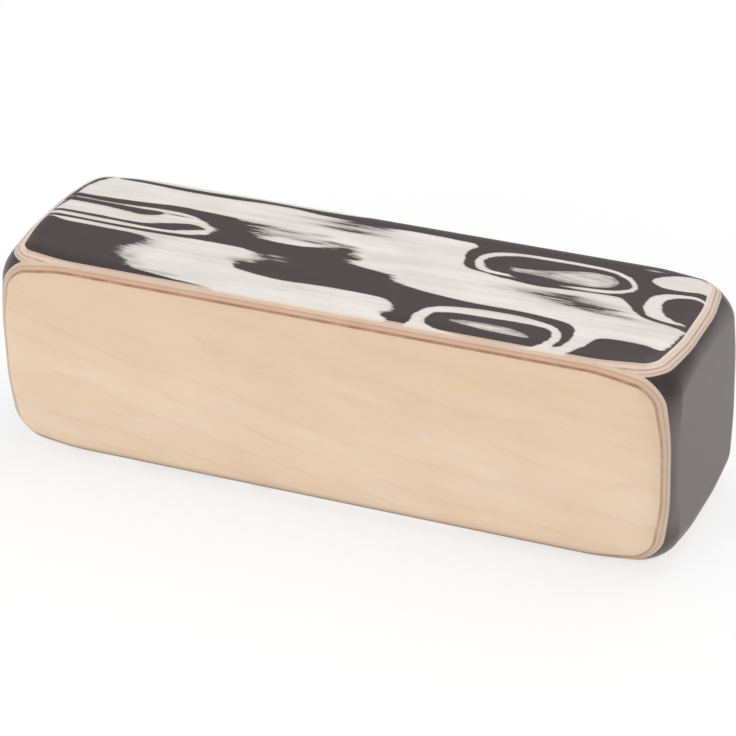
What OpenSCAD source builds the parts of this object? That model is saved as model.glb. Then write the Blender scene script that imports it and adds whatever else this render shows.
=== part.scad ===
// Hand-held wooden box shaker.
// A tube of four thin plywood panels is closed by two black end blocks and holds loose steel shot. The
// glued block is sanded round at every edge, and rounder at its eight corners, so that each ply of each
// panel shows as a band. Front is -Y, right is +X, and the bottom rests on Z = 0.

/* [Block] */
// Length from end to end
block_length = 161; // [120:1:220]
// Depth from the front panel's face to the back panel's face
block_depth = 50; // [42:1:80]
// Height from the bottom panel's face to the top panel's face
block_height = 50; // [42:1:80]

/* [Rounding] */
// Radius of the sanded edges
edge_radius = 6.5; // [5:0.5:9]
// Radius of the sanded corners
corner_radius = 10.5; // [9:0.5:14]
// Distance from a corner at which an edge has its own radius again
corner_reach = 20; // [15:1:20]

/* [Front and back panels] */
// Thickness of the pale face ply
face_ply = 1.5; // [0.8:0.05:2.5]
// Thickness of the cross-grained core ply
core_ply = 0.85; // [0.4:0.05:1.5]
// Thickness of the light inner ply
inner_ply = 0.8; // [0.4:0.05:1.5]

/* [Top and bottom panels] */
// Thickness of the figured face veneer
face_veneer = 0.55; // [0.4:0.05:1.5]
// Thickness of the cream ply under the veneer
outer_ply = 0.85; // [0.4:0.05:1.5]
// Thickness of the cross-grained middle ply
middle_ply = 0.6; // [0.3:0.05:1.5]
// Thickness of the light ply that lines the chamber
lining_ply = 0.55; // [0.3:0.05:1.5]

/* [End blocks] */
// Thickness of each end block
end_block = 10; // [5:0.5:15]

/* [Shot] */
// Diameter of one steel pellet
shot_diameter = 4; // [2:0.5:6]
// Gap between a pellet and whatever is next to it
shot_clearance = 0.3; // [0.1:0.05:0.5]
// Rows of pellets from front to back in each heap
heap_rows = 5; // [1:1:6]

/* [Hidden] */

// Depths below the front or back face at which its plies begin and end
core_depth = face_ply;
inner_depth = core_depth + core_ply;
panel_thickness = inner_depth + inner_ply;

// Depths below the top or bottom face at which its plies begin and end
outer_depth = face_veneer;
middle_depth = outer_depth + outer_ply;
lining_depth = middle_depth + middle_ply;
lid_thickness = lining_depth + lining_ply;

// Sealed chamber between the panels and the end blocks
chamber_length = block_length - 2 * end_block;
chamber_depth = block_depth - 2 * panel_thickness;
chamber_height = block_height - 2 * lid_thickness;
chamber_floor = lid_thickness;

// Six heaps of shot share the chamber's length, each a staggered layer of pellets on the floor
heap_count = 6;
heap_lane = chamber_length / heap_count;
pellet_pitch = shot_diameter + shot_clearance;
row_pitch = pellet_pitch * sin(60);
row_stagger = pellet_pitch / 2;
pellets_per_row = floor((heap_lane - pellet_pitch - row_stagger) / pellet_pitch) + 1;
heap_width = (pellets_per_row - 1) * pellet_pitch + row_stagger;
heap_depth = (heap_rows - 1) * row_pitch;

// Depth below the faces beside it at which a face is flat right into its corners
halving_steps = 30;
flat_inset = flat_from(edge_radius, corner_reach, halving_steps);

// Each corner's outline has points at these angles: two along the flat, then evenly round the curve
flat_angle = atan((corner_reach - flat_inset) / corner_reach);
curve_steps = 3;
arc_rise = concat(
    [0, flat_angle / 2],
    [for (i = [0 : curve_steps]) flat_angle + (45 - flat_angle) * i / curve_steps]
);
arc_angles = concat(arc_rise, [for (i = [len(arc_rise) - 2 : -1 : 0]) 90 - arc_rise[i]]);

// Outlines are taken at these depths below the front and back faces: evenly round the edge, then on the flat
edge_step = 20;
last_edge_turn = 80;
outline_depths = concat(
    [for (turn = [0 : edge_step : last_edge_turn]) edge_radius * (1 - cos(turn))],
    [flat_inset, (flat_inset + corner_reach) / 2, corner_reach]
);

// Depths are rounded to this step, so that flat faces are quite flat
depth_step = 0.0001;
pellet_sides = 48;

pale_maple = [0.90, 0.81, 0.69];
pink_core = [0.80, 0.62, 0.48];
cream_ply = [0.90, 0.82, 0.72];
figured_black_white = [0.55, 0.53, 0.52];
black_stain = [0.20, 0.19, 0.20];
bright_steel = [0.70, 0.71, 0.73];

// 1 at a corner or an edge's end, falling smoothly to 0 at the corner's reach
function fade(depth) =
    let (u = min(1, max(0, depth / corner_reach)))
    (1 - u) * (1 - u) * (1 + 2 * u);

// Radius of the rounding at a point, from its depths below the end, side and lid faces beside it
function radius_at(depth) =
    edge_radius + (corner_radius - edge_radius) * fade(depth.x) * fade(depth.y) * fade(depth.z);

// The depth from which the rounding has run out on a face, on the diagonal of its corner, found by halving
function flat_from(low, high, halvings) =
    let (middle = (low + high) / 2)
    halvings == 0 ? high
        : radius_at([middle, middle, 0]) <= middle ? flat_from(low, middle, halvings - 1)
        : flat_from(middle, high, halvings - 1);

// How far a point lies towards the outside: 1 on the sanded surface, less within the wood
function outwardness(depth) =
    let (r = radius_at(depth), near = [for (d = depth) max(0, 1 - d / r)])
    near * near;

// A point on a section, along a ray from the corner's reach, as depths below the end, side and lid faces
function ray_point(angle, distance, side_depth) = [
    corner_reach - distance * cos(angle),
    side_depth,
    corner_reach - distance * sin(angle)
];

// Where that ray leaves the wood, found by halving the stretch from low to high
function ray_end(angle, side_depth, low, high, halvings) =
    let (middle = (low + high) / 2, depth = ray_point(angle, middle, side_depth))
    halvings == 0 ? [for (d = depth) depth_step * round(d / depth_step)]
        : min(depth) >= 0 && outwardness(depth) <= 1 ? ray_end(angle, side_depth, middle, high, halvings - 1)
        : ray_end(angle, side_depth, low, middle, halvings - 1);

// The section's outline round one corner, as depths below the faces, from the end face to the lid face
function corner_arc(side_depth) =
    [for (angle = arc_angles) ray_end(angle, side_depth, 0, 2 * corner_reach, halving_steps)];

// The section's whole outline at a depth below the front (side -1) or back (side 1) face
function outline(side, side_depth) =
    let (
        arc = corner_arc(side_depth),
        back_arc = [for (i = [len(arc) - 1 : -1 : 0]) arc[i]],
        y = side * (block_depth / 2 - side_depth),
        quarters = [[1, 1, arc], [-1, 1, back_arc], [-1, -1, arc], [1, -1, back_arc]]
    )
    [for (q = quarters, d = q[2])
        [q[0] * (block_length / 2 - d.x), y, block_height / 2 + q[1] * (block_height / 2 - d.z)]];

// The sanded outside of the whole block: outlines from the front face to the back face, joined by triangles
module sanded_block() {
    front_half = [for (depth = outline_depths) outline(-1, depth)];
    back_half = [for (i = [len(outline_depths) - 1 : -1 : 0]) outline(1, outline_depths[i])];
    rings = concat(front_half, back_half);
    n = len(rings[0]);
    last = (len(rings) - 1) * n;
    points = [for (ring = rings, point = ring) point];
    front_cap = [for (i = [n - 1 : -1 : 0]) i];
    back_cap = [for (i = [0 : n - 1]) last + i];
    sides = [
        for (k = [0 : len(rings) - 2], i = [0 : n - 1])
            let (a = k * n + i, b = k * n + (i + 1) % n)
            each [[a, b, a + n], [b, b + n, a + n]]
    ];
    polyhedron(points, concat([front_cap, back_cap], sides));
}

// The part of the sanded block between two corners of a box
module cut_from_block(low, high) {
    intersection() {
        sanded_block();
        translate(low)
            cube(high - low);
    }
}

// A ply of the front (side -1) or back (side 1) panel, between two depths below its face
module panel_ply(side, near, far) {
    outside = block_depth / 2;
    y = side < 0 ? [near - outside, far - outside] : [outside - far, outside - near];
    cut_from_block([-block_length, y[0], -block_height], [block_length, y[1], 2 * block_height]);
}

// A ply of the bottom (side -1) or top (side 1) panel, held between the front and back panels
module lid_ply(side, near, far) {
    z = side < 0 ? [near, far] : [block_height - far, block_height - near];
    y = chamber_depth / 2;
    cut_from_block([-block_length, -y, z[0]], [block_length, y, z[1]]);
}

// An end block, on the left (side -1) or right (side 1), glued between the four panels
module end_piece(side) {
    inside = chamber_length / 2;
    x = side < 0 ? [-block_length, -inside] : [inside, block_length];
    y = chamber_depth / 2;
    cut_from_block([x[0], -y, chamber_floor], [x[1], y, chamber_floor + chamber_height]);
}

// One heap of loose shot in its own lane, counted from the left
module shot_heap(lane) {
    left = -chamber_length / 2 + (lane - 0.5) * heap_lane - heap_width / 2;
    front = -heap_depth / 2;
    height = chamber_floor + shot_clearance + shot_diameter / 2;
    color(bright_steel)
        for (row = [0 : heap_rows - 1], column = [0 : pellets_per_row - 1]) {
            x = left + column * pellet_pitch + (row % 2) * row_stagger;
            y = front + row * row_pitch;
            translate([x, y, height])
                sphere(d = shot_diameter, $fn = pellet_sides);
        }
}

module front_face_ply() { color(pale_maple) panel_ply(-1, 0, core_depth); }
module front_core_ply() { color(pink_core) panel_ply(-1, core_depth, inner_depth); }
module front_inner_ply() { color(cream_ply) panel_ply(-1, inner_depth, panel_thickness); }
module back_face_ply() { color(pale_maple) panel_ply(1, 0, core_depth); }
module back_core_ply() { color(pink_core) panel_ply(1, core_depth, inner_depth); }
module back_inner_ply() { color(cream_ply) panel_ply(1, inner_depth, panel_thickness); }
module top_face_veneer() { color(figured_black_white) lid_ply(1, 0, outer_depth); }
module top_outer_ply() { color(cream_ply) lid_ply(1, outer_depth, middle_depth); }
module top_middle_ply() { color(pink_core) lid_ply(1, middle_depth, lining_depth); }
module top_lining_ply() { color(cream_ply) lid_ply(1, lining_depth, lid_thickness); }
module bottom_face_veneer() { color(figured_black_white) lid_ply(-1, 0, outer_depth); }
module bottom_outer_ply() { color(cream_ply) lid_ply(-1, outer_depth, middle_depth); }
module bottom_middle_ply() { color(pink_core) lid_ply(-1, middle_depth, lining_depth); }
module bottom_lining_ply() { color(cream_ply) lid_ply(-1, lining_depth, lid_thickness); }
module left_end_block() { color(black_stain) end_piece(-1); }
module right_end_block() { color(black_stain) end_piece(1); }

front_face_ply();
front_core_ply();
front_inner_ply();
back_face_ply();
back_core_ply();
back_inner_ply();
top_face_veneer();
top_outer_ply();
top_middle_ply();
top_lining_ply();
bottom_face_veneer();
bottom_outer_ply();
bottom_middle_ply();
bottom_lining_ply();
left_end_block();
right_end_block();
shot_heap(1);  // shot_heap_1
shot_heap(2);  // shot_heap_2
shot_heap(3);  // shot_heap_3
shot_heap(4);  // shot_heap_4
shot_heap(5);  // shot_heap_5
shot_heap(6);  // shot_heap_6
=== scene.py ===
import math

import bmesh
import bpy
import numpy as np
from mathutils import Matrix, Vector


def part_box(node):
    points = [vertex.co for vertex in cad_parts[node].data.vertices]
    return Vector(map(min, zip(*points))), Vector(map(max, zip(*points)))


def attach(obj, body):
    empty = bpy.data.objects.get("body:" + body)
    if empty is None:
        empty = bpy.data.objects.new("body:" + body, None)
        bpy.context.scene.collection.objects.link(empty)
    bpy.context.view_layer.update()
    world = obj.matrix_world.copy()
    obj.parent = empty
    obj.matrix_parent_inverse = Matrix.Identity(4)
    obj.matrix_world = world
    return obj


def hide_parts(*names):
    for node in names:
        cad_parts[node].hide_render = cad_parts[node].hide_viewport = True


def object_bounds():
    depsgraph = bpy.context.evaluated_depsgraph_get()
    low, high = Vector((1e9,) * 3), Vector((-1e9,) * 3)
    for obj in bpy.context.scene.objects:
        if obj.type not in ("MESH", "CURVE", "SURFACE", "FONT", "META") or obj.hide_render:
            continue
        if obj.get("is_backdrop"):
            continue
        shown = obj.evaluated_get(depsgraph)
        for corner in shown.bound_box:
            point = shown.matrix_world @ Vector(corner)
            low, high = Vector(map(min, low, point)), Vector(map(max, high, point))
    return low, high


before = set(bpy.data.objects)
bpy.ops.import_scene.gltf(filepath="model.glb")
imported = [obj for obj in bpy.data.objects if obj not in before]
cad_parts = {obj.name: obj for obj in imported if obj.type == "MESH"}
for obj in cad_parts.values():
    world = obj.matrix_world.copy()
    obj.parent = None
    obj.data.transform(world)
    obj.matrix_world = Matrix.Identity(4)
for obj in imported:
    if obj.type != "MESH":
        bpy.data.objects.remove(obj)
cad_low, cad_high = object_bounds()

# End blocks: two squares of hardwood, stained black and lacquered satin. Each is glued between the four
# panels to close the box, and is sanded flush with them, so that its outer face rolls over at the edges and
# corners. Sizes are in millimetres, here and in the sections below.
metre = 1000.0
millimetre = 0.001
half_length, half_width, half_height = (
    0.5 * metre * round(high - low, 6) for low, high in zip(cad_low, cad_high)
)
edge_radius = 6.5
corner_radius = 10.5
corner_reach = 20.0
halvings = 44
end_face_points = 140
end_face_crowding = 0.6
crisp_angle = math.radians(25)


def sanded_radius(a, b, c):
    """Rounding at depths a, b and c below the three outer planes: the edge radius, which swells to the
    corner radius where all three are small. Each depth fades the swelling by (1 - u)^2 (1 + 2 u), where u
    is the depth over the corner reach."""
    swelling = 1.0
    for depth in (a, b, c):
        u = np.clip(depth / corner_reach, 0.0, 1.0)
        swelling = swelling * (1.0 - u) ** 2 * (1.0 + 2.0 * u)
    return edge_radius + (corner_radius - edge_radius) * swelling


def sanded_away(a, b, c):
    """True outside the sanded block, where the squares of (1 - depth / radius), summed over the depths that
    are smaller than the radius, come to more than 1."""
    radius = sanded_radius(a, b, c)
    return sum(np.maximum(0.0, 1.0 - depth / radius) ** 2 for depth in (a, b, c)) > 1.0


def sanded_depth(p, q):
    """Depth of the sanded surface below one outer plane, where the depths below the other two are p and q,
    found by halving the range from 0 to the corner reach."""
    low = np.zeros(np.broadcast(p, q).shape)
    high = low + corner_reach
    for _ in range(halvings):
        middle = (low + high) / 2.0
        outside = sanded_away(middle, p, q)
        low = np.where(outside, middle, low)
        high = np.where(outside, high, middle)
    return high


def crowded(count, crowding):
    """Count numbers from -1 to 1, a straight run mixed with a sine so that they crowd towards both ends."""
    s = np.linspace(-1.0, 1.0, count)
    return (1.0 - crowding) * s + crowding * np.sin(np.pi * s / 2.0)


def grid_quads(rows, columns):
    """The four corners of every cell of a grid whose points are numbered row by row."""
    corner = (np.arange(rows - 1)[:, None] * columns + np.arange(columns - 1)[None, :]).ravel()
    return np.stack([corner, corner + 1, corner + columns + 1, corner + columns], axis=1)


def grid_rim(rows, columns):
    """The numbers of a grid's border points, once round."""
    number = np.arange(rows * columns).reshape(rows, columns)
    return np.concatenate([number[0, :-1], number[:-1, -1], number[-1, :0:-1], number[:0:-1, 0]])


def fan(rim, middle):
    """A flat cap: triangles from each pair of neighbours on a rim to the point in its middle."""
    return np.stack([rim, np.roll(rim, -1), np.full(len(rim), middle)], axis=1).tolist()


def glued_piece(name, node, slot, points, faces, finish):
    """A closed mesh from points in millimetres, smooth where it rolls and crisp at its edges, that stands
    for its CAD node and rides with the box."""
    mesh = bpy.data.meshes.new(name)
    mesh.from_pydata((points * millimetre).tolist(), [], faces)
    closed = bmesh.new()
    closed.from_mesh(mesh)
    bmesh.ops.recalc_face_normals(closed, faces=closed.faces)
    closed.to_mesh(mesh)
    closed.free()
    mesh.shade_smooth()
    mesh.set_sharp_from_angle(angle=crisp_angle)
    mesh.materials.append(finish)
    piece = bpy.data.objects.new(name, mesh)
    bpy.context.scene.collection.objects.link(piece)
    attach(piece, "shell")
    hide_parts(node)
    return piece


def seen(red, green, blue):
    """A colour as the eye sees it, 0 to 255 a channel, turned into linear light by the usual screen curve:
    a straight foot of part / 12.92, and above it ((part + 0.055) / 1.055) to the power 2.4."""
    part = np.array((red, green, blue)) / 255.0
    linear = np.where(part <= 0.04045, part / 12.92, ((part + 0.055) / 1.055) ** 2.4)
    return (*linear.tolist(), 1.0)


def put(tree, kind, inputs, **settings):
    """Adds a shader node with its settings. Each input is a plain value or another node's output."""
    made = tree.nodes.new(kind)
    for key, value in settings.items():
        setattr(made, key, value)
    for key, value in inputs.items():
        if isinstance(value, bpy.types.NodeSocket):
            tree.links.new(value, made.inputs[key])
        else:
            made.inputs[key].default_value = value
    return made


def new_finish(name):
    """An empty finish, its node tree, and the one surface shader on its output."""
    finish = bpy.data.materials.new(name)
    finish.use_nodes = True
    tree = finish.node_tree
    tree.nodes.clear()
    surface = put(tree, "ShaderNodeBsdfPrincipled", {})
    put(tree, "ShaderNodeOutputMaterial", {"Surface": surface.outputs[0]})
    return finish, tree, surface


def grain(tree, size, turn=(0.0, 0.0, 0.0), detail=4.0, rough=0.55, shift=0.0):
    """Noise from 0 to 1 on the piece's own coordinates. Size is the length of a streak along x, y and z in
    millimetres, turn leans the streaks in degrees, and shift moves to another part of the noise."""
    lying = {
        "Vector": put(tree, "ShaderNodeTexCoord", {}).outputs["Object"],
        "Location": (shift, shift, shift),
        "Rotation": tuple(math.radians(angle) for angle in turn),
        "Scale": tuple(millimetre * part for part in size),
    }
    laid = put(tree, "ShaderNodeMapping", lying, vector_type="TEXTURE").outputs[0]
    noise = {"Vector": laid, "Scale": 1.0, "Detail": detail, "Roughness": rough}
    return put(tree, "ShaderNodeTexNoise", noise).outputs["Fac"]


def work(tree, operation, first, second=0.0):
    """One sum on two values."""
    return put(tree, "ShaderNodeMath", {0: first, 1: second}, operation=operation).outputs[0]


def spread(tree, value, low, high, start=0.0, end=1.0, smooth=False):
    """The value, stretched so that low becomes start and high becomes end, and held there beyond them."""
    kind = "SMOOTHSTEP" if smooth else "LINEAR"
    ends = {0: value, 1: low, 2: high, 3: start, 4: end}
    return put(tree, "ShaderNodeMapRange", ends, interpolation_type=kind).outputs[0]


def blend(tree, factor, first, second):
    """A colour that goes from the first to the second as the factor goes from 0 to 1."""
    return put(tree, "ShaderNodeMix", {0: factor, 6: first, 7: second}, data_type="RGBA").outputs[2]


def raise_grain(tree, surface, height, depth):
    """Small relief: the height, 0 to 1, times a depth in millimetres."""
    relief = put(tree, "ShaderNodeBump", {"Height": height, "Strength": 1.0, "Distance": depth * millimetre})
    tree.links.new(relief.outputs[0], surface.inputs["Normal"])


def place_along(tree, axis):
    """A point's own X, Y or Z in millimetres."""
    place = put(tree, "ShaderNodeTexCoord", {}).outputs["Object"]
    return work(tree, "MULTIPLY", put(tree, "ShaderNodeSeparateXYZ", {0: place}).outputs[axis], metre)


def depth_below(tree, axis):
    """Depth in millimetres below the nearer of the two outer planes that cross an axis: half the box's size
    along it minus the distance from the middle of the box."""
    middle, half = {"X": (0.0, half_length), "Y": (0.0, half_width), "Z": (half_height, half_height)}[axis]
    from_middle = work(tree, "ABSOLUTE", work(tree, "SUBTRACT", place_along(tree, axis), middle))
    return work(tree, "SUBTRACT", half, from_middle)


# the rolled and turning colours are the stain painted darker: painted shade on the rolled edge
shaded_rolled_stain = seen(44, 30, 30), seen(52, 36, 35)
half_shaded_stain = seen(61, 49, 49)
flat_stain = seen(62, 40, 39), seen(77, 51, 49)
pore_stain = seen(30, 22, 22)
worn_stain = seen(88, 74, 66)
# the rubbed colour is partly wear and partly a painted sheen
rubbed_stain_and_sheen = seen(104, 88, 85)

black_end, tree, surface = new_finish("black_stained_end")
pores = grain(tree, (0.4, 5.0, 0.3), detail=5.0, rough=0.6)
cloud = grain(tree, (9.0, 16.0, 7.0), detail=3.0)
clouded = spread(tree, cloud, 0.3, 0.7)
end_depth = depth_below(tree, "X")
side_depth = depth_below(tree, "Y")
lid_depth = depth_below(tree, "Z")
# the stain is painted darker on the rolled edge than on the flat of the end, a painted shade for the darker
# reflection there, and sits darker in the pores
stain_shade_and_sheen = blend(tree, clouded, *shaded_rolled_stain)
stain_shade_and_sheen = blend(tree, spread(tree, end_depth, 1.9, 0.35), stain_shade_and_sheen, half_shaded_stain)
stain_shade_and_sheen = blend(tree, spread(tree, end_depth, 0.45, 0.05), stain_shade_and_sheen, blend(tree, clouded, *flat_stain))
stain_shade_and_sheen = blend(tree, spread(tree, pores, 0.5, 0.75, 0.0, 0.5), stain_shade_and_sheen, pore_stain)
# it is worn a little along every edge, and lighter along the upright ones, partly rubbed thin and partly a
# painted sheen
near_edge = spread(tree, work(tree, "MINIMUM", side_depth, lid_depth), 7.0, 3.5)
worn = work(tree, "MULTIPLY", near_edge, spread(tree, pores, 0.56, 0.7))
stain_shade_and_sheen = blend(tree, work(tree, "MULTIPLY", worn, 0.35), stain_shade_and_sheen, worn_stain)
upright = work(tree, "MULTIPLY", spread(tree, side_depth, 6.7, 5.2), spread(tree, lid_depth, 6.0, 13.0))
rubbed_and_sheen = work(tree, "MULTIPLY", upright, spread(tree, cloud, 0.3, 0.7, 0.75, 0.95))
stain_shade_and_sheen = blend(tree, rubbed_and_sheen, stain_shade_and_sheen, rubbed_stain_and_sheen)
tree.links.new(stain_shade_and_sheen, surface.inputs["Base Color"])
tree.links.new(spread(tree, cloud, 0.25, 0.75, 0.33, 0.38), surface.inputs["Roughness"])
surface.inputs["IOR"].default_value = 1.6
raise_grain(tree, surface, pores, 0.012)

for side, node in ((-1.0, "left_end_block"), (1.0, "right_end_block")):
    low, high = (np.array(corner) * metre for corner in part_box(node))
    run = crowded(end_face_points, end_face_crowding)
    y = (high[1] * run)[:, None]
    z = ((low[2] + high[2]) / 2.0 + (high[2] - low[2]) / 2.0 * run)[None, :]
    x = half_length - sanded_depth(half_width - np.abs(y), half_height - np.abs(z - half_height))
    y, z = np.broadcast_arrays(y, z)
    outer = np.stack([x.ravel(), y.ravel(), z.ravel()], axis=1)
    rim = grid_rim(end_face_points, end_face_points)
    inner = outer[rim]
    inner[:, 0] = min(abs(low[0]), abs(high[0]))
    back = len(outer) + np.arange(len(rim))
    walls = np.stack([rim, np.roll(rim, -1), np.roll(back, -1), back], axis=1)
    faces = grid_quads(end_face_points, end_face_points).tolist() + walls.tolist() + fan(back, back[-1] + 1)
    points = np.concatenate([outer, inner, [(inner[0, 0], 0.0, half_height)]]) * (side, 1.0, 1.0)
    glued_piece(node.replace("end_block", "black_end"), node, "black_end", points, faces, black_end)

# Lining plies: the innermost layer of the top and bottom panels, thin light wood with its grain across the
# box. They are glued on the upper and lower sides of the black blocks, and only their rounded edge shows,
# at the two ends of the box.
panel_thickness = round(half_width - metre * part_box("top_lining_ply")[1].y, 3)
corner_rays = 110
clipped_rays = 14
middle_gap = 0.2


def outline_reach(depth, turn):
    """Distance from the point one corner reach inside both edges to the sanded outline at that depth, along
    a ray that turns from one edge (0) to the other (90 degrees), found by halving."""
    low = np.zeros(np.broadcast(depth, turn).shape)
    high = low + 1.5 * corner_reach
    for _ in range(halvings):
        middle = (low + high) / 2.0
        p = corner_reach - middle * np.cos(turn)
        q = corner_reach - middle * np.sin(turn)
        outside = (p < 0.0) | (q < 0.0) | sanded_away(np.maximum(p, 0.0), np.maximum(q, 0.0), depth)
        low = np.where(outside, low, middle)
        high = np.where(outside, middle, high)
    return low


def four_corners(p, q, half_across, half_up):
    """Rings of points once round: the corner outline (p, q) laid in each of the four corners in turn."""
    u = half_across - p
    v = half_up - q
    across = np.concatenate([u, -u[:, ::-1], -u, u[:, ::-1]], axis=1)
    up = np.concatenate([v, v[:, ::-1], -v, -v[:, ::-1]], axis=1)
    return across, up


def ring_solid(x, y, z):
    """Points and faces of a closed solid from its rings: quads between each ring and the next, and a flat
    fan in the first and the last ring."""
    rings, count = x.shape
    points = np.stack([x, y, z], axis=2)
    number = np.arange(rings * count).reshape(rings, count)
    after = np.roll(number, -1, axis=1)
    quads = np.stack([number[:-1], after[:-1], after[1:], number[1:]], axis=2).reshape(-1, 4).tolist()
    caps = fan(number[0], rings * count) + fan(number[-1], rings * count + 1)
    return np.concatenate([points.reshape(-1, 3), points[[0, -1]].mean(axis=1)]), quads + caps


def lid_ply(depths, edge_steps):
    """Rings of a lid ply, one at each depth below the lid: the sanded outline, stopped short where it meets
    the front and back panels. One ray of each corner runs to the very point where the two cross. The long
    edges go on from the corner almost to the middle of the box in so many steps."""
    depth = np.asarray(depths)[:, None]
    crossing = np.minimum(sanded_depth(panel_thickness, depth), corner_reach - 1.0)
    turned = np.arctan2(corner_reach - panel_thickness, corner_reach - crossing)
    first = turned * np.linspace(0.0, 1.0, corner_rays)[None, :]
    rest = turned + (np.pi / 2.0 - turned) * np.linspace(0.0, 1.0, clipped_rays)[None, 1:]
    turn = np.concatenate([first, rest], axis=1)
    stop = (corner_reach - panel_thickness) / np.maximum(np.sin(turn), 0.001)
    reach = np.minimum(outline_reach(depth, turn), stop)
    p = corner_reach - reach * np.cos(turn)
    q = corner_reach - reach * np.sin(turn)
    edge = np.linspace(corner_reach, half_length - middle_gap, edge_steps + 1)[None, 1:]
    p = np.concatenate([p, edge + 0.0 * depth], axis=1)
    q = np.concatenate([q, 0.0 * edge + q[:, -1:]], axis=1)
    x, y = four_corners(p, q, half_length, half_width)
    return x, y, np.broadcast_to(depth, x.shape)


def lid_depths(layer):
    """Depths below the lid between which a ply of the top panel lies."""
    low, high = (round(metre * corner.z, 3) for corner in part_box("top_" + layer))
    return 2.0 * half_height - high, 2.0 * half_height - low


def lay_lid_ply(layer, word, slot, finish, rings, extra=(), edge_steps=0):
    """The same ply in the top and the bottom panel, between the depths of its CAD node, with so many rings
    and one more at each extra depth."""
    depths = np.linspace(*lid_depths(layer), rings)
    x, y, depth = lid_ply(np.unique(np.concatenate([depths, extra])), edge_steps)
    for lid, up in (("bottom", 0.0), ("top", 1.0)):
        z = up * (2.0 * half_height - depth) + (1.0 - up) * depth
        glued_piece(f"{lid}_{word}", f"{lid}_{layer}", slot, *ring_solid(x, y, z), finish)


def ply_edge(name, pale, deep, fibre, pore_depth):
    """A ply's sanded edge: slow changes from a pale to a deep colour, and short fibres that fleck it with
    0.72 of the deep colour's light. It gives the finish, its tree and surface, and the colour to draw on."""
    finish, tree, surface = new_finish(name)
    slow = grain(tree, (14.0, 14.0, 6.0), detail=3.0)
    fine = grain(tree, fibre, detail=5.0, rough=0.65)
    colour = blend(tree, spread(tree, slow, 0.3, 0.7), pale, deep)
    fleck = tuple(0.72 * part for part in deep[:3]) + (1.0,)
    colour = blend(tree, spread(tree, fine, 0.52, 0.72, 0.0, 0.45), colour, fleck)
    tree.links.new(spread(tree, fine, 0.3, 0.7, 0.42, 0.56), surface.inputs["Roughness"])
    raise_grain(tree, surface, fine, pore_depth)
    return finish, tree, surface, colour


def glue_line(tree, colour, depth, at, half_line, strength, glue, eased=1.0):
    """The colour with a glue line drawn on it, strongest at one depth and faded out half a line to either
    side. A little noise makes the line wander and come and go, as a pressed glue joint does."""
    wander = spread(tree, grain(tree, (6.0, 6.0, 6.0), detail=3.0), 0.2, 0.8, -0.02, 0.02)
    off = work(tree, "ABSOLUTE", work(tree, "SUBTRACT", work(tree, "ADD", depth, wander), at))
    drawn = spread(tree, off, half_line, 0.3 * half_line, smooth=True)
    patchy = spread(tree, grain(tree, (3.0, 3.0, 3.0), shift=0.4), 0.3, 0.6, 0.6 * strength, strength)
    drawn = work(tree, "MULTIPLY", drawn, work(tree, "MULTIPLY", patchy, eased))
    return blend(tree, drawn, colour, glue)


def end_facing(tree):
    """0 on faces that look to the front, back, top or bottom, rising to 1 on faces that look along the
    box."""
    facing = put(tree, "ShaderNodeTexCoord", {}).outputs["Normal"]
    along = put(tree, "ShaderNodeSeparateXYZ", {0: facing}).outputs["X"]
    return spread(tree, work(tree, "ABSOLUTE", along), 0.2, 0.7)


def painted_corner_shade(tree, colour):
    """The colour, made pinker and darker where the edge of a ply turns away from the end of the box: a
    painted shade for the different light there."""
    turned = spread(tree, end_facing(tree), 0.0, 1.0, 0.45, 0.0)
    return blend(tree, turned, colour, seen(212, 176, 156))


lining_start, lining_end = lid_depths("lining_ply")
lining_joint = {"at": lining_start, "half_line": 0.18, "strength": 0.8, "glue": seen(192, 166, 147)}
block_joint = {"at": lining_end, "half_line": 0.2, "strength": 0.95, "glue": seen(70, 54, 46)}
block_low, block_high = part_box("right_end_block")
block_thickness = metre * (block_high.x - block_low.x)
block_fade = 0.2

lining, tree, surface, colour = ply_edge(
    "lining_ply_edge",
    pale=seen(226, 208, 193),
    deep=seen(216, 196, 179),
    fibre=(0.5, 3.0, 0.25),
    pore_depth=0.015,
)
# painted shade where the edge turns away from the end
colour = painted_corner_shade(tree, colour)
lid_depth = depth_below(tree, "Z")
colour = glue_line(tree, colour, lid_depth, **lining_joint)
end_depth = depth_below(tree, "X")
on_block = spread(tree, end_depth, block_thickness + block_fade, block_thickness - block_fade)
colour = glue_line(tree, colour, lid_depth, **block_joint, eased=on_block)
tree.links.new(colour, surface.inputs["Base Color"])
lay_lid_ply("lining_ply", "lining", "cream_ply", lining, rings=6)

# Middle plies: the second layer of the top and bottom panels, a pinkish light wood laid along the box.
# They are pressed between the lining and the outer ply, with a brown glue line on the outer side.
middle_start = lid_depths("middle_ply")[0]
middle_joint = {"at": middle_start, "half_line": 0.2, "strength": 0.85, "glue": seen(182, 147, 123)}

middle, tree, surface, colour = ply_edge(
    "middle_ply_edge",
    pale=seen(238, 219, 203),
    deep=seen(229, 206, 188),
    fibre=(0.3, 0.5, 0.25),
    pore_depth=0.012,
)
# painted shade where the edge turns away from the end
colour = painted_corner_shade(tree, colour)
lid_depth = depth_below(tree, "Z")
colour = glue_line(tree, colour, lid_depth, **middle_joint)
colour = glue_line(tree, colour, lid_depth, **lining_joint)
tree.links.new(colour, surface.inputs["Base Color"])
lay_lid_ply("middle_ply", "pink_ply", "cream_ply", middle, rings=7)

# Outer plies: the cream layer of the top and bottom panels, on which the figured veneer is laid. It shows
# as a pale band round the veneer, where the sanding has gone through to it and left a film of the veneer.
film_colours = seen(240, 231, 221), seen(188, 158, 141)
end_cream = seen(248, 235, 222)
# the pale line just under the veneer, on the ends of the box, is a painted highlight
painted_highlight_line = {"at": 0.66, "half_line": 0.14, "strength": 0.6, "glue": seen(250, 243, 235)}
tan_line = {"at": 0.98, "half_line": 0.22, "strength": 0.8, "glue": seen(222, 193, 170)}

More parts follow.
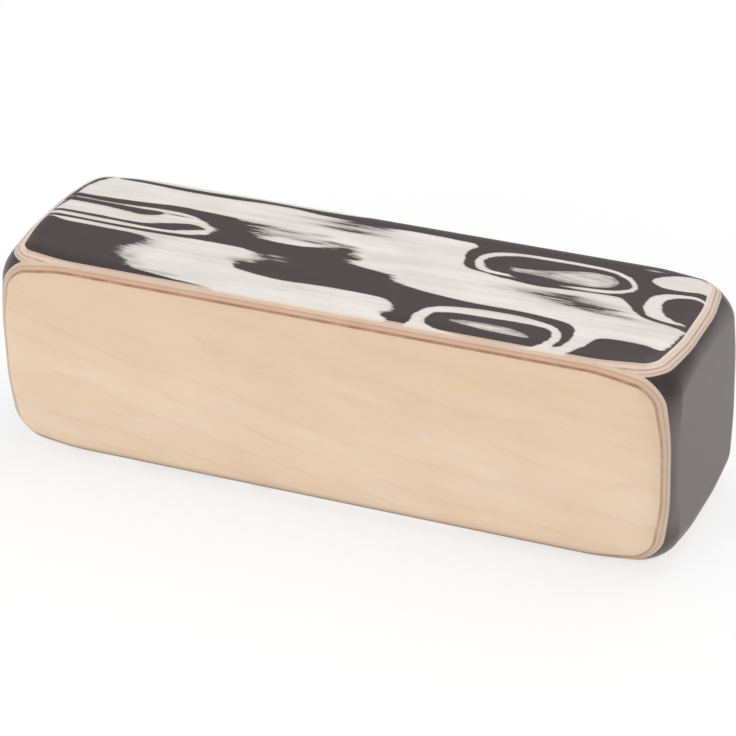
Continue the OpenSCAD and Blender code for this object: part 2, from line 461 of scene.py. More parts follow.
outer, tree, surface, colour = ply_edge(
    "outer_ply_edge",
    pale=seen(235, 214, 197),
    deep=seen(226, 200, 181),
    fibre=(0.8, 0.5, 0.25),
    pore_depth=0.012,
)
lid_depth = depth_below(tree, "Z")
ends_only = end_facing(tree)
sides_only = spread(tree, ends_only, 0.0, 1.0, 1.0, 0.0)
figure = put(tree, "ShaderNodeAttribute", {}, attribute_name="figure").outputs["Fac"]
by_dark = work(tree, "MULTIPLY", spread(tree, figure, -0.25, 0.25), sides_only)
film = blend(tree, by_dark, *film_colours)
colour = blend(tree, spread(tree, lid_depth, 1.05, 0.6, 0.0, 0.7), colour, film)
colour = blend(tree, work(tree, "MULTIPLY", ends_only, 0.6), colour, end_cream)
# the pale line drawn here is a painted highlight
colour = glue_line(tree, colour, lid_depth, **painted_highlight_line, eased=ends_only)
colour = glue_line(tree, colour, lid_depth, **tan_line, eased=ends_only)
colour = glue_line(tree, colour, lid_depth, **middle_joint)
tree.links.new(colour, surface.inputs["Base Color"])
panel_crossing = edge_radius - math.sqrt(edge_radius ** 2 - (edge_radius - panel_thickness) ** 2)
lay_lid_ply("outer_ply", "cream_ply", "cream_ply", outer, rings=12, extra=(panel_crossing,), edge_steps=150)

# Figured veneers: one leaf of black and white figured wood on the top panel, and the next leaf of the same
# bundle turned over on the bottom. They are glued on the outer plies and thinned to nothing along the
# rounding.
veneer_columns = 400
veneer_rows = 221
veneer_crowding = 0.5
far_figure = 5.0
least_ragged = 0.1
least_fibre = 0.22


def closed_curve(points, steps=7):
    """A smooth closed curve through the points: between two of them it is the usual cubic through four
    points in a row, (2b + (c - a)t + (2a - 5b + 4c - d)t^2 + (3b - a - 3c + d)t^3) / 2."""
    b = np.array(points, dtype=float)
    a, c, d = np.roll(b, 1, axis=0), np.roll(b, -1, axis=0), np.roll(b, -2, axis=0)
    t = (np.arange(steps) / steps)[None, :, None]
    a, b, c, d = (part[:, None, :] for part in (a, b, c, d))
    curve = 2 * b + (c - a) * t + (2 * a - 5 * b + 4 * c - d) * t ** 2 + (3 * b - a - 3 * c + d) * t ** 3
    return curve.reshape(-1, 2) / 2.0


def depth_inside(x, y, outline):
    """How far a point lies inside a closed outline, in millimetres, negative outside: the distance to its
    nearest straight piece, with the sign from how often a line going right from the point crosses the
    outline."""
    nearest = np.full(x.shape, far_figure ** 2)
    inside = np.zeros(x.shape, dtype=bool)
    for (ax, ay), (bx, by) in zip(outline, np.roll(outline, -1, axis=0)):
        dx, dy = bx - ax, by - ay
        along = np.clip(((x - ax) * dx + (y - ay) * dy) / max(dx * dx + dy * dy, 1e-9), 0.0, 1.0)
        nearest = np.minimum(nearest, (x - ax - along * dx) ** 2 + (y - ay - along * dy) ** 2)
        if ay != by:
            inside ^= ((ay > y) != (by > y)) & (x < ax + (y - ay) * dx / dy)
    return np.where(inside, 1.0, -1.0) * np.sqrt(nearest)


# each band: its tone, the most that it counts for (less than full is grey), and its outline along and across
dark, light = 1.0, -1.0
full = 9.0
figure_bands = [
    # the dark line along the back, and two thin ones round the left end
    (dark, full, [(-69, 18.4), (-62, 18.2), (-52, 17.7), (-42, 17.7), (-34, 18.2), (-26, 18.4), (-18, 17.6),
                  (-10, 17.3), (-3, 16.9), (4, 17.3), (12, 17.3), (18, 17.0), (24, 17.2), (24, 23.5),
                  (-2, 23.5), (-8, 20.4), (-20, 19.6), (-34, 19.8), (-46, 19.2), (-58, 19.4),
                  (-66, 19.6)]),
    (dark, full, [(-76.4, 8.5), (-76.1, 12), (-75.0, 15), (-73.1, 17.5), (-70.5, 19.2), (-71.5, 17.4),
                  (-73.5, 14.7), (-74.8, 11.5), (-75.1, 8.8)]),
    (dark, full, [(-74.6, 7.3), (-75.6, 6.0), (-76.2, 4.0), (-76.7, 1.5), (-76.9, -0.4), (-76.4, -0.4),
                  (-76.1, 1.6), (-75.4, 4.0), (-74.4, 5.6)]),
    # the dark river from the left end to the middle of the front, round the eye that the front edge cuts
    (dark, full, [(-79, 8.7), (-70, 8.8), (-62, 9.2), (-55, 9.9), (-49, 10.4), (-43, 10.1), (-37, 9.8),
                  (-33.5, 9.2), (-31, 8), (-29, 6.4), (-27, 4.2), (-24.5, 2.7), (-20, 2.2), (-15.5, 2.4),
                  (-12, 3.1), (-9.5, 4.1), (-6.5, 4.9), (-4, 4.7), (-2.4, 4.0), (-2.2, 2.6), (-1, 1.0),
                  (-2.5, 0), (-2, -1.0), (1, -1.9), (5, -2.5), (8.5, -3.2), (10, -4.6), (12.5, -6.2),
                  (20, -7.6), (30, -8.6), (40, -8.5), (47, -9.0), (52, -9.9), (54.3, -11.6), (55, -14.5),
                  (54.8, -17.5), (53.8, -20), (52.5, -23.5), (15.5, -23.5), (14.8, -21), (12.4, -19.5),
                  (14, -18.6), (14.3, -16.5), (13.2, -14.5), (10, -13.2), (2, -12.9), (-6, -13.1),
                  (-12.5, -13.6), (-19, -13.1), (-24.5, -12), (-26.4, -10.4), (-24.8, -8.8), (-22.4, -7.2),
                  (-21.9, -5.6), (-23.2, -4.2), (-27, -3.1), (-32, -2.8), (-37, -2.6), (-39.2, -1.6),
                  (-37.9, -0.1), (-37.2, 1.6), (-38, 3.6), (-41, 5.6), (-45, 7.1), (-50, 7.8), (-56, 7.5),
                  (-64, 7.1), (-72, 7.2), (-79, 7.2)]),
    # the half eye at the left end: a second line, a dark tongue, and one more line under it
    (dark, full, [(-79, 6.7), (-70, 6.6), (-62, 6.5), (-57, 6.5), (-53, 6.6), (-51.3, 5.9), (-53, 4.6),
                  (-56.5, 3.9), (-60, 4.3), (-66, 4.8), (-72, 5.0), (-79, 5.1)]),
    (dark, full, [(-79, 0.4), (-66, 0.4), (-58, 0.2), (-54, 0.4), (-50, 1.5), (-46.5, 2.8), (-43, 3.4),
                  (-40, 2.8), (-39.6, 1.9), (-42, 0.8), (-46, -0.7), (-50, -1.1), (-56, -1.0), (-66, -0.7),
                  (-79, -0.5)]),
    (dark, full, [(-79, -1.9), (-68, -2.1), (-58, -2.3), (-50, -2.1), (-45, -1.8), (-41, -1.2), (-38, -0.2),
                  (-35, -1), (-35.5, -2.7), (-40, -2.9), (-46, -3.3), (-52, -3.4), (-60, -3.3),
                  (-68, -3.1), (-79, -2.9)]),
    # the dark front left corner, with a ragged right side
    (dark, full, [(-79, -4.5), (-70, -4.6), (-60, -4.7), (-54, -4.9), (-50.5, -6), (-49.2, -7.6),
                  (-50.6, -9.6), (-52.2, -11.5), (-52.6, -13.5), (-51.2, -15.8), (-49.5, -17.4), (-48, -19),
                  (-43, -20), (-36, -20.6), (-27, -21.4), (-28, -23.5), (-60, -23.5), (-79, -23.5)]),
    # the dark back right quarter, which holds two eyes and a pale patch
    (dark, full, [(20.4, 17.4), (21.5, 15.6), (20.3, 13.8), (20.3, 11.4), (21, 9), (21.8, 6.8), (24, 5.6),
                  (28, 4.9), (33, 4.0), (40, 3.3), (46, 3.8), (53, 4.5), (58.5, 4.6), (60.5, 3.2),
                  (62.5, 1.2), (64.3, -0.7), (67, -2.3), (71, -3.2), (79, -3.9), (80, 6), (79, 23.5),
                  (50, 23.5), (20, 23.5)]),
    (light, full, [(23.3, 10), (24.2, 12.8), (27, 14.7), (31, 15.8), (38, 16.2), (46, 16.2), (53, 15.7),
                   (57.5, 14.1), (60, 11.8), (61, 9.5), (59.8, 7.3), (56.5, 5.7), (52, 5.0), (44, 5.1),
                   (36, 5.3), (29, 5.4), (25, 6.4)]),
    (dark, full, [(25.1, 10), (26.2, 12.2), (29, 13.8), (33, 14.8), (40, 15.1), (47, 15.1), (53, 14.7),
                  (56.6, 13.3), (58.8, 11.3), (59.7, 9.6), (58.6, 8), (55, 6.6), (50, 6.1), (46, 5.4),
                  (40, 4.4), (35, 5), (31, 6.2), (27, 7.0)]),
    (light, 0.02, [(33.0, 8.7), (37, 9.8), (41, 10.8), (45.5, 12.2), (50, 13.1), (54, 12.6), (56.2, 11),
                   (56, 9), (53, 7.4), (48, 6.9), (42, 7.3), (37, 7.9)]),
    (light, 0.09, [(41, 8.8), (44, 10.6), (48, 12), (52, 12.2), (55, 11), (55, 9.2), (52, 8.0), (46, 7.8)]),
    (light, full, [(62.8, 14.4), (64, 16.2), (67.5, 17.9), (72, 18.6), (76.5, 17), (79, 14.5), (78, 12.8),
                   (75.5, 12.6), (72, 12), (68, 11.7), (64.5, 12.5)]),
    (light, full, [(64.6, 4.4), (65.1, 7.2), (67.2, 9.2), (71, 10.2), (75.5, 10.2), (79, 9), (80, 3),
                   (79, -1.4), (75, -2.4), (70.5, -2.1), (67, -1), (65.2, 1.4)]),
    (dark, full, [(68.1, 5.4), (69, 7.5), (71, 8.7), (74.5, 9.2), (79, 8), (81, 2), (79, -3), (75.5, -2.9),
                  (73.2, -1.5), (70.8, 0), (69, 2.4)]),
    (light, 0.1, [(72.3, -2.0), (74, -1.6), (75.8, -2.1), (74, -2.5)]),
    # the dark front right corner
    (dark, full, [(60, -14.2), (62, -13.2), (66, -12.9), (70.5, -13.1), (74, -13.9), (75.3, -11.5),
                  (75.9, -7.5), (76.4, -5.2), (79, -4.6), (80, -12), (79, -23.5), (53.5, -23.5),
                  (56.3, -20.8), (58.2, -18.4), (59.3, -16)]),
    # the eye at the front edge: a pale ring, a dark field and a grey almond with a pale heart
    (light, full, [(19.9, -19.5), (19.9, -16.8), (21.3, -14.2), (24.5, -12.2), (31, -10.9), (39, -10.5),
                   (45, -11), (50, -12.4), (52.3, -14.7), (52.9, -17.2), (52.2, -19.6), (50, -23.5),
                   (21.5, -23.5)]),
    (dark, full, [(22.9, -19.2), (22.9, -17), (24.2, -15), (28, -14), (34, -13.6), (41, -13.2), (47, -13.4),
                  (49.8, -14.3), (50.8, -16.4), (50.4, -18.8), (48.6, -20.8), (44, -21.9), (34, -21.9),
                  (28, -21.2), (24.5, -20.6)]),
    (light, 0.04, [(27.8, -17.2), (31, -16.4), (36, -16.1), (41, -16.3), (44.8, -17.3), (46.4, -18.5),
                   (43, -18.8), (37, -18.6), (31.5, -18.0)]),
    (light, 0.1, [(32, -17.0), (36, -16.7), (40, -17.0), (43, -18.0), (39, -18.1), (35, -17.7)]),
    # the pale bay round the tail of the river, along the front edge
    (light, full, [(49, -21.7), (51.2, -20.7), (53.2, -20.0), (55.0, -19.1), (56.2, -18.5), (57.5, -18.9),
                   (56.0, -20.8), (53.6, -23.4), (48, -23.4)]),
]
# each place: its middle along and across, its reach along and across, and how much
ragged_places = [
    (-51, -12, 7, 9, 3.2), (-27, 6, 9, 4, 6.0), (-23, -6, 6, 4, 3.5), (-5, 3, 6, 4, 5.0),
    (10, -4.5, 4, 3, 2.5), (13, -18, 4, 3, 1.5), (34, 8, 5, 3, 3.0),
]
smoky_places = [
    # the torn left bank of the dark river and the grey clouds off it
    (-31, 8.6, 4.0, 0.9, 0.45), (-28.5, 6.6, 3.0, 1.3, 0.55), (-25.5, 4.6, 2.2, 0.9, 0.5),
    (-25, 8.3, 4.0, 0.8, 0.35), (-19, 7.6, 6.0, 1.2, 0.32), (-20, 5.4, 5.0, 0.8, 0.3),
    (-13, 8.7, 2.6, 0.6, 0.3), (-13.5, 5.0, 4.0, 0.6, 0.6), (-9, 6.2, 3.5, 0.5, 0.7),
    (-6, 5.6, 3.0, 0.6, 0.5), (-25, -8.3, 3.0, 1.0, 0.5), (-23, -5, 1.5, 1.5, 0.25),
    (-19, -4.0, 2.0, 0.35, -0.35), (-17.6, -5.5, 1.8, 0.3, -0.3),
    # the feathers under the back line
    (-8, 13.0, 6.5, 0.55, 0.9), (-10, 15.3, 5.5, 0.5, 0.7), (-7.5, 16.7, 4.5, 0.6, 0.8),
    (-9, 14.6, 8.0, 2.2, 0.22), (-20, 15.4, 4.0, 0.4, 0.2), (-2, 16.3, 3.0, 0.8, 0.4),
    # the broken streaks between the eyes on the right
    (46.5, 0.4, 5.5, 0.8, 0.6), (50.5, -1.4, 5.0, 0.8, 0.85), (54, -2.4, 5.0, 0.7, 0.8),
    (60, -3.4, 5.0, 0.45, 0.55), (57.5, -1.2, 3.5, 0.4, 0.6), (50, -0.6, 12.0, 2.4, 0.28),
    (40, 0.4, 7.0, 0.8, 0.2), (47, 1.6, 7.0, 0.5, 0.3), (36, -0.2, 5.0, 0.6, 0.12),
    (66, -4, 4.0, 0.4, 0.2), (62, 18.4, 1.8, 0.25, -0.35),
    # the right side of the dark front left corner, and the tail of the line over it
    (-42, -19.5, 6.0, 0.6, 0.35), (-48.5, -8, 2.5, 2.5, 0.25), (-50, -14.5, 2.5, 3.0, 0.25),
    (-47.5, -17.5, 2.5, 1.0, 0.25), (-47.5, 6.2, 4.5, 0.4, 0.5), (-68, 6.9, 9.0, 0.3, 0.3),
]


def leaf_figure(x, y):
    """The figure of the leaf in millimetres, above 0 where the wood is dark. Each band is laid over those
    before it: a dark one takes the greater of the figure and its own depth inside, a light one the lesser
    of the figure and minus that depth."""
    figure = np.full(x.shape, -far_figure)
    for tone, most, outline in figure_bands:
        own = np.minimum(depth_inside(x, y, closed_curve(outline)), most)
        figure = np.maximum(figure, own) if tone == dark else np.minimum(figure, -own)
    return figure


def bells(x, y, places):
    """The sum of each place's amount times exp(-u^2 - v^2), u and v being the distances from its middle
    along and across over its two reaches."""
    total = np.zeros(x.shape)
    for cx, cy, along, across, amount in places:
        total = total + amount * np.exp(-((x - cx) / along) ** 2 - ((y - cy) / across) ** 2)
    return total


def raggedness(x, y, figure):
    """How ragged the edge of the figure is, in millimetres. Fibres run along the leaf and pull the figure
    with them, so it is a fibre's length, longest at the ragged places, times the figure's slope along x."""
    slope = np.gradient(figure, axis=1) / np.gradient(x, axis=1)
    return least_ragged + (least_fibre + bells(x, y, ragged_places)) * np.abs(slope)


pale_veneer = seen(225, 217, 209), seen(244, 239, 234)
shaded_veneer = seen(178, 168, 161)
black_veneer = seen(48, 35, 35), seen(65, 49, 48)
wisp_veneer = seen(76, 60, 57)

veneer, tree, surface = new_finish("figured_veneer")
figure = put(tree, "ShaderNodeAttribute", {}, attribute_name="figure").outputs["Fac"]
ragged = put(tree, "ShaderNodeAttribute", {}, attribute_name="ragged").outputs["Fac"]
smoke = put(tree, "ShaderNodeAttribute", {}, attribute_name="smoke").outputs["Fac"]
# fibres tear the edge of the figure and soften it, and the smoke is drawn out along them
fibres = spread(tree, grain(tree, (7.0, 0.9, 0.9), detail=6.0, rough=0.7), 0.28, 0.72, -1.0, 1.0)
hair = spread(tree, grain(tree, (2.2, 0.14, 0.2), detail=3.0), 0.25, 0.75, -0.07, 0.07)
torn = work(tree, "ADD", work(tree, "ADD", figure, work(tree, "MULTIPLY", ragged, fibres)), hair)
soft = work(tree, "ADD", work(tree, "MULTIPLY", ragged, 0.4), 0.14)
darkness = spread(tree, work(tree, "DIVIDE", torn, soft), -1.0, 1.0, smooth=True)
feather = grain(tree, (7.0, 0.4, 0.4), detail=5.0, rough=0.6, shift=0.5)
smoky = work(tree, "MULTIPLY", smoke, spread(tree, feather, 0.32, 0.68, 0.1, 2.6))
darkness = spread(tree, work(tree, "ADD", darkness, smoky), 0.0, 1.0)
# the pale wood is clouded, and shaded beside the dark wood, which has streaks and wisps of its own
streaks = grain(tree, (34.0, 0.9, 0.9), detail=5.0, rough=0.6, shift=0.2)
wisps = grain(tree, (11.0, 1.6, 1.6), detail=4.0, shift=0.7)
clouds = grain(tree, (20.0, 5.0, 5.0), detail=4.0, shift=0.9)
fleece = work(tree, "ADD", work(tree, "MULTIPLY", clouds, 0.55), work(tree, "MULTIPLY", streaks, 0.45))
pale = blend(tree, spread(tree, fleece, 0.36, 0.64), *pale_veneer)
near_dark = work(tree, "MULTIPLY", spread(tree, figure, -1.2, 0.0), spread(tree, wisps, 0.4, 0.75))
pale = blend(tree, work(tree, "MULTIPLY", near_dark, 0.5), pale, shaded_veneer)
deep = blend(tree, spread(tree, streaks, 0.3, 0.7), *black_veneer)
deep = blend(tree, spread(tree, wisps, 0.55, 0.8, 0.0, 0.5), deep, wisp_veneer)
tree.links.new(blend(tree, darkness, pale, deep), surface.inputs["Base Color"])
tree.links.new(spread(tree, streaks, 0.3, 0.7, 0.4, 0.5), surface.inputs["Roughness"])
raise_grain(tree, surface, grain(tree, (5.0, 0.18, 0.2), detail=4.0, rough=0.6), 0.01)

rim_depth = round(lid_depths("face_veneer")[1], 3)
rim_inset = edge_radius - math.sqrt(edge_radius ** 2 - (edge_radius - rim_depth) ** 2)
y = (half_width - rim_inset) * crowded(veneer_rows, veneer_crowding)[:, None]
end_inset = sanded_depth(half_width - np.abs(y), rim_depth)
end_inset[[0, -1]] = corner_reach
x = (half_length - end_inset) * np.linspace(-1.0, 1.0, veneer_columns)[None, :]
y = np.broadcast_to(y, x.shape)
depth = np.minimum(sanded_depth(half_length - np.abs(x), half_width - np.abs(y)), rim_depth)
depth[[0, -1], :] = rim_depth
depth[:, [0, -1]] = rim_depth
figure = leaf_figure(x, y)
marks = {"figure": figure, "ragged": raggedness(x, y, figure), "smoke": bells(x, y, smoky_places)}
faces = grid_quads(veneer_rows, veneer_columns).tolist()
faces += fan(grid_rim(veneer_rows, veneer_columns), veneer_rows * veneer_columns)
for lid, up, turned_over in (("bottom", 0.0, -1), ("top", 1.0, 1)):
    z = up * (2.0 * half_height - depth) + (1.0 - up) * depth
    points = np.stack([x.ravel(), y.ravel(), z.ravel()], axis=1)
    points = np.concatenate([points, [(0.0, 0.0, z[0, 0])]])
    leaf = glued_piece(f"{lid}_figured_leaf", f"{lid}_face_veneer", "figured_veneer", points, faces, veneer)
    for name, values in marks.items():
        layer = leaf.data.attributes.new(name, "FLOAT", "POINT")
        laid = np.append(values[:, ::turned_over].ravel(), 0.0)
        layer.data.foreach_set("value", laid.astype(np.float32))
    # the cream ply under the leaf needs the figure too, for its film
    under = bpy.data.objects[f"{lid}_cream_ply"].data
    spots = np.empty(3 * len(under.vertices))
    under.vertices.foreach_get("co", spots)
    along, across, _ = metre * spots.reshape(-1, 3).T
    layer = under.attributes.new("figure", "FLOAT", "POINT")
    layer.data.foreach_set("value", leaf_figure(turned_over * along, across).astype(np.float32))

# Shot: loose steel pellets, sealed inside, that make the sound. Each heap is a few rows that roll from the
# front wall to the back one together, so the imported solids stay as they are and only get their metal.
heap_count = 6
bright_steel = seen(168, 168, 170), seen(200, 199, 197)
scuffed_steel = seen(108, 106, 105)

steel, tree, surface = new_finish("rolled_steel_shot")
scuffs = grain(tree, (0.9, 0.25, 0.9), turn=(25.0, 0.0, 40.0), detail=5.0, rough=0.6)
dull = grain(tree, (3.0, 3.0, 3.0), detail=3.0)
metal = blend(tree, spread(tree, dull, 0.3, 0.7), *bright_steel)
metal = blend(tree, spread(tree, scuffs, 0.58, 0.72, 0.0, 0.6), metal, scuffed_steel)
tree.links.new(metal, surface.inputs["Base Color"])
tree.links.new(spread(tree, scuffs, 0.3, 0.7, 0.2, 0.42), surface.inputs["Roughness"])
surface.inputs["Metallic"].default_value = 1.0
raise_grain(tree, surface, scuffs, 0.01)
for heap in range(1, heap_count + 1):
    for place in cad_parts[f"shot_heap_{heap}"].material_slots:
        place.material = steel

# Inner plies of the front and back panels: a light wood, laid along the box, glued on the black blocks and
# on the edges of the top and bottom panels. It shows as the innermost band of the rounded edge.
corner_points = 61
flat_margin = 2.0


def panel_ply(depths, with_face):
    """Rings of a panel ply, one at each depth below the panel's face: the sanded outline, on rays that
    crowd round the middle of each corner. A face ply starts with one more ring, drawn in on the flat."""
    depth = np.asarray(depths)[:, None]
    s = np.linspace(-1.0, 1.0, corner_points)
    turn = (np.pi / 4.0 * (1.0 + s * (0.35 + 0.65 * s ** 2)))[None, :]
    reach = outline_reach(depth, turn)
    if with_face:
        reach = np.concatenate([reach[:1] - flat_margin, reach])
        depth = np.concatenate([depth[:1], depth])
    p = corner_reach - reach * np.cos(turn)
    q = corner_reach - reach * np.sin(turn)
    x, z = four_corners(p, q, half_length, half_height)
    return x, z + half_height, np.broadcast_to(depth, x.shape)


def panel_depths(layer):
    """Depths below the face between which a ply of the front panel lies."""
    return tuple(round(half_width + metre * corner.y, 3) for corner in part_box("front_" + layer))


def lay_panel_ply(layer, word, slot, finish, rings, with_face=False):
    """The same ply in the front and the back panel, between the depths of its CAD node. Where it starts at
    the face the depths go with the square of the step, because the rounding starts level with the flat."""
    near, far = panel_depths(layer)
    run = np.linspace(0.0, 1.0, rings)
    depths = near + (far - near) * (run ** 2 if with_face else run)
    x, z, depth = panel_ply(depths, with_face)
    for panel, side in (("back", 1.0), ("front", -1.0)):
        y = side * (half_width - depth)
        glued_piece(f"{panel}_{word}", f"{panel}_{layer}", slot, *ring_solid(x, y, z), finish)


def painted_foot_shade(tree, colour, most):
    """The colour, darkened along the bottom edge as painted shade where the box stands on the floor: not at
    all from 4.5 mm up, and by the most at 1.8 mm and below."""
    foot_shade = spread(tree, place_along(tree, "Z"), 4.5, 1.8, 0.0, most, smooth=True)
    return blend(tree, foot_shade, colour, seen(138, 122, 106))


inner_start = panel_depths("inner_ply")[0]
inner_joint = {"at": inner_start, "half_line": 0.2, "strength": 0.45, "glue": seen(168, 128, 98)}
inner_end_grain = seen(210, 188, 172)

inner, tree, surface, colour = ply_edge(
    "inner_ply_edge",
    pale=seen(224, 199, 176),
    deep=seen(215, 188, 164),
    fibre=(0.8, 0.25, 0.5),
    pore_depth=0.012,
)
side_depth = depth_below(tree, "Y")
colour = blend(tree, work(tree, "MULTIPLY", end_facing(tree), 0.8), colour, inner_end_grain)
colour = glue_line(tree, colour, side_depth, **inner_joint)
# the bottom edge is darkened as painted shade
tree.links.new(painted_foot_shade(tree, colour, 0.6), surface.inputs["Base Color"])
lay_panel_ply("inner_ply", "light_inner", "cream_ply", inner, rings=8)

# Core plies of the front and back panels: pinkish wood laid across the box, between the face and the inner
# ply. Its end grain shows along the long edges, where it is pinker, and its long grain at the two ends.
core_start = panel_depths("core_ply")[0]
core_joint = {"at": core_start, "half_line": 0.3, "strength": 1.0, "glue": seen(155, 117, 88)}
core_long_grain = seen(213, 187, 163)

core, tree, surface, colour = ply_edge(
    "pink_core_edge",
    pale=seen(219, 181, 154),
    deep=seen(209, 168, 140),
    fibre=(0.4, 0.25, 0.9),
    pore_depth=0.015,
)
endwise = end_facing(tree)
colour = blend(tree, work(tree, "MULTIPLY", endwise, 0.85), colour, core_long_grain)
side_depth = depth_below(tree, "Y")
fainter_at_ends = spread(tree, endwise, 0.0, 1.0, 1.0, 0.6)
colour = glue_line(tree, colour, side_depth, **core_joint, eased=fainter_at_ends)
colour = glue_line(tree, colour, side_depth, **inner_joint)
# the bottom edge is darkened as painted shade
tree.links.new(painted_foot_shade(tree, colour, 0.6), surface.inputs["Base Color"])
lay_panel_ply("core_ply", "pink_core", "pink_core", core, rings=8)

# Face plies of the front and back panels: pale maple, sanded and lacquered satin. The panels go on last,
# over the edges of the top and bottom panels, and the whole box is then rounded on its edges and corners.
lean = (0.0, 9.0, 0.0)
ring_width = 7.0
maple_tones = seen(221, 194, 167), seen(234, 211, 189)
ripe_maple = seen(229, 204, 169)
late_maple = seen(203, 170, 137)
upper_painted_shade = seen(216, 184, 151)


def rings_up(tree):
    """How many rings of growth lie below a point: its height across the leaning grain over the width of a
    ring."""
    lying = {
        "Vector": put(tree, "ShaderNodeTexCoord", {}).outputs["Object"],
        "Rotation": tuple(math.radians(angle) for angle in lean),
        "Scale": (millimetre * ring_width,) * 3,
    }
    laid = put(tree, "ShaderNodeMapping", lying, vector_type="TEXTURE").outputs[0]
    return put(tree, "ShaderNodeSeparateXYZ", {0: laid}).outputs["Z"]


maple, tree, surface = new_finish("pale_maple_face")
cloud = grain(tree, (26.0, 12.0, 10.0), turn=lean, detail=3.0)
streaks = grain(tree, (60.0, 2.0, 2.4), turn=lean, detail=5.0, rough=0.6)
fibres = grain(tree, (7.0, 0.25, 0.22), turn=lean, detail=4.0, rough=0.6)
tone = work(tree, "ADD", work(tree, "MULTIPLY", cloud, 0.5), work(tree, "MULTIPLY", streaks, 0.22))
tone = work(tree, "ADD", tone, work(tree, "MULTIPLY", fibres, 0.28))
colour = blend(tree, spread(tree, tone, 0.34, 0.66), *maple_tones)
ripe = grain(tree, (15.0, 5.0, 5.0), turn=lean, detail=4.0, rough=0.6, shift=0.6)
colour = blend(tree, spread(tree, ripe, 0.46, 0.66, 0.0, 0.6), colour, ripe_maple)
# the growth rings wave, darken towards their late wood, and come and go along the panel
waves = grain(tree, (80.0, 16.0, 16.0), turn=lean, detail=2.0, shift=0.3)
rings = work(tree, "ADD", rings_up(tree), work(tree, "MULTIPLY", waves, 3.0))
late_wood = spread(tree, work(tree, "FRACT", rings), 0.7, 1.0, smooth=True)
come_and_go = spread(tree, ripe, 0.6, 0.42, 0.03, 0.21)
colour = blend(tree, work(tree, "MULTIPLY", late_wood, come_and_go), colour, late_maple)
# the face darkens towards its top: painted shade
colour = blend(tree, spread(tree, place_along(tree, "Z"), 22.0, 46.0, 0.0, 0.5), colour, upper_painted_shade)
fainter_at_ends = spread(tree, end_facing(tree), 0.0, 1.0, 1.0, 0.6)
colour = glue_line(tree, colour, depth_below(tree, "Y"), **core_joint, eased=fainter_at_ends)
# the bottom edge is darkened as painted shade
tree.links.new(painted_foot_shade(tree, colour, 0.5), surface.inputs["Base Color"])
tree.links.new(spread(tree, streaks, 0.3, 0.7, 0.42, 0.52), surface.inputs["Roughness"])
raise_grain(tree, surface, fibres, 0.01)
lay_panel_ply("face_ply", "maple_face", "pale_maple", maple, rings=20, with_face=True)

# Floor, light and camera: a pale floor that keeps the shadow, an even white studio, and the view of the
# photograph. The floor shows white to the camera and in reflections, and so does the world behind it to the
# camera. Both light the box at a plain level. Places here are in metres.
floor_reach = 3.0
floor_level = -0.0002
floor_glow, floor_glow_shown = 0.1, 0.71
studio_light, studio_white = 0.62, 0.97
white = (1.0, 1.0, 1.0, 1.0)
box_middle = (0.0, 0.0, half_height * millimetre)
soft_boxes = (
    ("window", (-0.35, -1.4, 0.5), 1.2, 8.0),
    ("sweep", (0.2, 0.5, 1.1), 1.0, 4.8),
)
view_turn, view_rise, view_roll = (math.radians(angle) for angle in (24.1167, 30.1301, -1.8614))
view_distance = 0.7373576
view_right = 0.0008304
view_up = -0.0016795


def ray_kind(tree, kind):
    """1 for one kind of ray, Camera or Glossy, and 0 for the rest."""
    return put(tree, "ShaderNodeLightPath", {}).outputs[f"Is {kind} Ray"]


pale_floor, tree, surface = new_finish("pale_floor")
paper = grain(tree, (4.0, 4.0, 4.0), detail=2.0)
paper = blend(tree, paper, seen(236, 236, 236), seen(238, 238, 238))
shown = work(tree, "MAXIMUM", ray_kind(tree, "Camera"), ray_kind(tree, "Glossy"))
paper = blend(tree, shown, paper, seen(150, 150, 150))
tree.links.new(paper, surface.inputs["Base Color"])
surface.inputs["Roughness"].default_value = 0.9
surface.inputs["Specular IOR Level"].default_value = 0.0
surface.inputs["Emission Color"].default_value = white
glow = spread(tree, shown, 0.0, 1.0, floor_glow, floor_glow_shown)
tree.links.new(glow, surface.inputs["Emission Strength"])

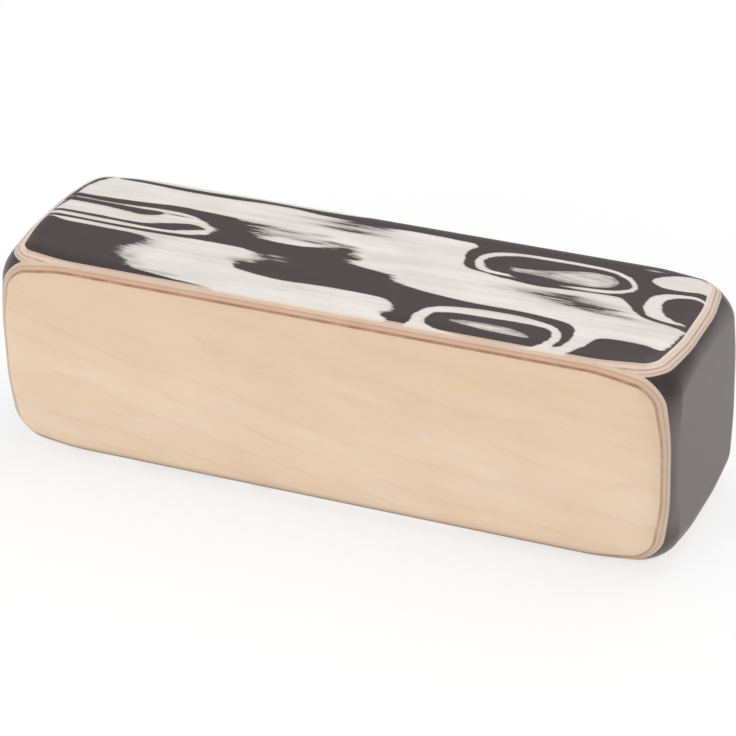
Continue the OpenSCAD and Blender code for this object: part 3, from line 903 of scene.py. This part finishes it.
floor_mesh = bpy.data.meshes.new("floor")
floor_corners = [(-1.0, -1.0), (1.0, -1.0), (1.0, 1.0), (-1.0, 1.0)]
floor_points = [(floor_reach * x, floor_reach * y, floor_level) for x, y in floor_corners]
floor_mesh.from_pydata(floor_points, [], [(0, 1, 2, 3)])
floor_mesh.materials.append(pale_floor)
floor = bpy.data.objects.new("floor", floor_mesh)
bpy.context.scene.collection.objects.link(floor)
floor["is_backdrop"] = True

world = bpy.data.worlds.new("white_studio")
world.use_nodes = True
tree = world.node_tree
tree.nodes.clear()
level = spread(tree, ray_kind(tree, "Camera"), 0.0, 1.0, studio_light, studio_white)
sky = put(tree, "ShaderNodeBackground", {"Color": white, "Strength": level})
put(tree, "ShaderNodeOutputWorld", {"Surface": sky.outputs[0]})
bpy.context.scene.world = world
bpy.context.scene.view_settings.view_transform = "Standard"

for name, place, size, power in soft_boxes:
    lamp = bpy.data.lights.new(name, "AREA")
    lamp.shape = "DISK"
    lamp.size = size
    lamp.energy = power
    soft_box = bpy.data.objects.new(name, lamp)
    soft_box.location = place
    towards = Vector(box_middle) - Vector(place)
    soft_box.rotation_euler = towards.to_track_quat("-Z", "Y").to_euler()
    bpy.context.scene.collection.objects.link(soft_box)

# the camera looks back at the box along a line that is turned and raised, and is rolled a little about it
level_back = (math.sin(view_turn) * math.cos(view_rise), -math.cos(view_turn) * math.cos(view_rise))
back = np.array((*level_back, math.sin(view_rise)))
level_right = np.array((math.cos(view_turn), math.sin(view_turn), 0.0))
level_over = np.cross(back, level_right)
right = math.cos(view_roll) * level_right + math.sin(view_roll) * level_over
over = math.cos(view_roll) * level_over - math.sin(view_roll) * level_right
spot = np.array(box_middle) + view_distance * back + view_right * right + view_up * over
lens = bpy.data.cameras.new("camera")
lens.sensor_width = 36.0
lens.lens = 160.81
lens.clip_start = 0.01
camera = bpy.data.objects.new("camera", lens)
columns = np.stack([right, over, back, spot], axis=1)
camera.matrix_world = np.vstack([columns, (0.0, 0.0, 0.0, 1.0)]).T.tolist()
bpy.context.scene.collection.objects.link(camera)
bpy.context.scene.camera = camera

low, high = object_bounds()
